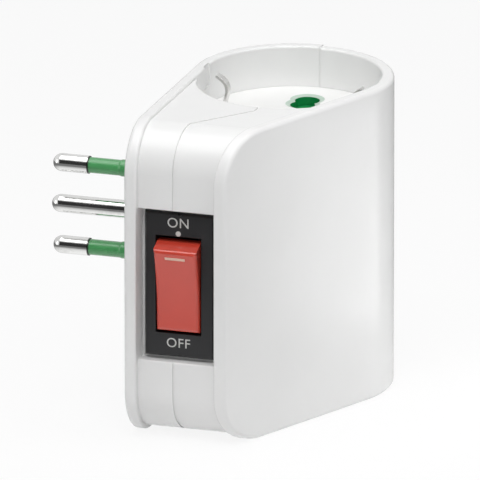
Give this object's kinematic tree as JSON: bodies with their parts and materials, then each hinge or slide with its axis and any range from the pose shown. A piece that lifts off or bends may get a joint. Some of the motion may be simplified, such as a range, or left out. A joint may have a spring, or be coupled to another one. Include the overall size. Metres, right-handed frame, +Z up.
{
  "type": "multi socket adapter",
  "caption": "Plug-in mains adapter with a recessed earthed socket on the top, another underneath and a rocker circuit breaker on the side.",
  "frame": {"origin": "on the axis of the earth pin, at the rear face that bears on the wall socket", "axes": "+X away from the wall, so that the plug pins point along -X; +Y from the switch side to the socket side; +Z up, towards the upper socket"},
  "size_m": [0.0645, 0.0753, 0.072],
  "materials": {
    "housing_white": "satin",
    "insert_white": "satin",
    "pin_metal": "bright nickel plating",
    "contact_brass": "rolled",
    "steel": "zinc plated",
    "sleeve_green": "satin",
    "shutter_green": "satin",
    "switch_black": "satin",
    "rocker_red": "gloss",
    "mark_cream": "satin"
  },
  "bodies": {
    "housing": {"rear_shell": "housing_white", "front_shell": "housing_white", "shell_screws": "steel", "plug_pin_live": "pin_metal", "plug_pin_earth": "pin_metal", "plug_pin_neutral": "pin_metal", "pin_sleeve_live": "sleeve_green", "pin_sleeve_neutral": "sleeve_green", "socket_plate_top": "insert_white", "socket_plate_bottom": "insert_white", "contact_carrier_top": "insert_white", "contact_carrier_bottom": "insert_white", "shutter_frame_top": "shutter_green", "shutter_frame_bottom": "shutter_green", "shutter_spring_top": "steel", "shutter_spring_bottom": "steel", "earth_strap_top": "pin_metal", "earth_strap_bottom": "pin_metal", "earth_fork_top": "contact_brass", "earth_fork_bottom": "contact_brass", "live_contact_top": "contact_brass", "live_contact_bottom": "contact_brass", "neutral_contact_top": "contact_brass", "neutral_contact_bottom": "contact_brass", "live_lead": "contact_brass", "live_busbar": "contact_brass", "neutral_busbar": "contact_brass", "earth_busbar": "contact_brass", "switch_bezel": "switch_black", "switch_case": "switch_black", "rocker_pin": "steel", "arm_pin": "steel", "line_terminal": "contact_brass", "load_terminal": "contact_brass", "fixed_contact": "contact_brass", "bimetal_strip": "steel"},
    "rocker": {"rocker": "rocker_red", "rocker_mark": "mark_cream"},
    "contact_arm": {"contact_arm": "contact_brass"},
    "shutter_top": {"shutter_top": "shutter_green"},
    "shutter_bottom": {"shutter_bottom": "shutter_green"}
  },
  "joints": [
    {"name": "rocker_tilt", "type": "hinge", "parent": "housing", "child": "rocker", "pos_m": [0.0116, 0.0005, -0.0146], "axis": [-1, 0, 0], "range_deg": [0, 15]},
    {"name": "contact_arm_tilt", "type": "hinge", "parent": "housing", "child": "contact_arm", "pos_m": [0.0116, 0.0103, -0.0146], "axis": [1, 0, 0], "range_deg": [0, 23]},
    {"name": "top_shutter_slide", "type": "slide", "parent": "housing", "child": "shutter_top", "axis": [1, 0, 0], "range_m": [0, 0.0068], "stiffness_N_per_m": 30, "springref_m": -0.002, "deforming": ["shutter_spring_top"]},
    {"name": "bottom_shutter_slide", "type": "slide", "parent": "housing", "child": "shutter_bottom", "axis": [1, 0, 0], "range_m": [0, 0.0068], "stiffness_N_per_m": 30, "springref_m": -0.002, "deforming": ["shutter_spring_bottom"]}
  ],
  "couplings": [
    {"joint": "contact_arm_tilt", "follows": "rocker_tilt", "ratio": 1.5326}
  ]
}
